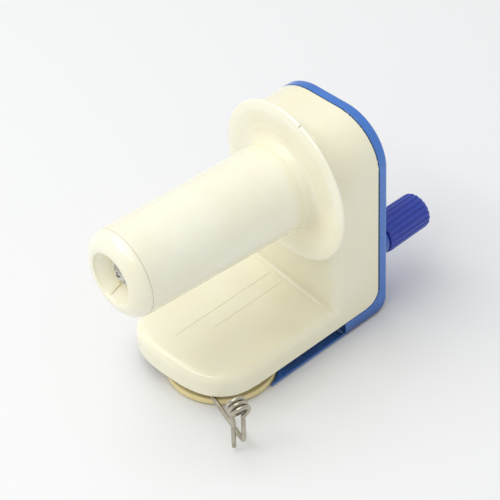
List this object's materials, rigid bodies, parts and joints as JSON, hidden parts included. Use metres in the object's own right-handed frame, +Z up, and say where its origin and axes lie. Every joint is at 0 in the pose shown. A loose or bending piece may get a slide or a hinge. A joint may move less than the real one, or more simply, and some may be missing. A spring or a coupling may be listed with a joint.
{
  "type": "yarn ball winder",
  "caption": "Hand-cranked yarn ball winder: a tilted flanged spool on a moulded housing, driven by a rear crank, with a swinging wire yarn guide under the front.",
  "frame": {"origin": "on the base pan's flat resting face, on the centre line, 50 mm in front of the seam between the cream housing and the blue rear cover", "axes": "+Z up, -Y towards the free end of the spool (the front), +Y towards the crank, +X to the right seen from the front looking towards the crank"},
  "size_m": [0.116, 0.2187, 0.1595],
  "materials": {
    "housing_cream": "glossy moulded plastic, warm cream",
    "spool_cream": "glossy moulded plastic, light cream",
    "disc_cream": "moulded plastic, darker yellowed cream",
    "cover_blue": "glossy moulded plastic, mid blue",
    "crank_blue": "moulded plastic, deep blue",
    "grip_blue": "ribbed moulded plastic, violet blue",
    "nylon": "natural nylon, satin",
    "steel": "zinc-plated steel, fine brushed",
    "nickel": "nickel-plated steel, bright",
    "wire": "nickel-plated spring wire, drawn",
    "brass": "sintered brass, satin"
  },
  "bodies": {
    "housing": {"front_housing": "housing_cream", "rear_cover": "cover_blue", "cover_screw_1": "steel", "cover_screw_2": "steel", "cover_screw_3": "steel", "cover_screw_4": "steel", "pan_screw_1": "steel", "pan_screw_2": "steel", "crank_bush_rear": "brass", "crank_bush_front": "brass", "main_bush_rear": "brass", "main_bush_front": "brass", "fixed_sun_gear": "nylon", "pivot_screw": "steel", "pivot_sleeve": "brass"},
    "crank": {"crank_arm": "crank_blue", "drive_gear": "nylon", "crank_shaft": "steel", "crank_ring": "steel", "crank_screw": "steel", "grip_pin": "steel"},
    "grip": {"crank_grip": "grip_blue"},
    "head": {"carrier": "nylon", "main_shaft": "steel", "pinion": "nylon", "main_ring": "steel", "spool_axle": "steel", "axle_washer": "steel", "axle_screw": "nickel"},
    "spool": {"spool_tube": "spool_cream", "end_cap": "spool_cream", "spool_bush_rear": "nylon", "spool_bush_front": "nylon", "ring_gear": "nylon"},
    "guide": {"guide_disc": "disc_cream", "yarn_guide": "wire", "clamp_washer": "steel", "clamp_screw": "steel"}
  },
  "joints": [
    {"name": "crank_turn", "type": "hinge", "parent": "housing", "child": "crank", "pos_m": [0, 0.05, 0.07525], "axis": [0, 1, 0], "continuous": true},
    {"name": "grip_spin", "type": "hinge", "parent": "crank", "child": "grip", "pos_m": [0.0269, 0.08, 0.0407], "axis": [0, 1, 0], "continuous": true},
    {"name": "head_turn", "type": "hinge", "parent": "housing", "child": "head", "pos_m": [0, 0.05, 0.1065], "axis": [0, 1, 0], "continuous": true},
    {"name": "spool_turn", "type": "hinge", "parent": "head", "child": "spool", "pos_m": [0.01273, 0.0047, 0.10951], "axis": [0.0845, 0.9962, 0.02], "continuous": true},
    {"name": "guide_swing", "type": "hinge", "parent": "housing", "child": "guide", "pos_m": [0.009, -0.046, 0.004], "axis": [0, 0, 1], "range_deg": [-118, 56]}
  ],
  "couplings": [
    {"joint": "head_turn", "follows": "crank_turn", "ratio": -4},
    {"joint": "spool_turn", "follows": "crank_turn", "ratio": 1.2308}
  ]
}
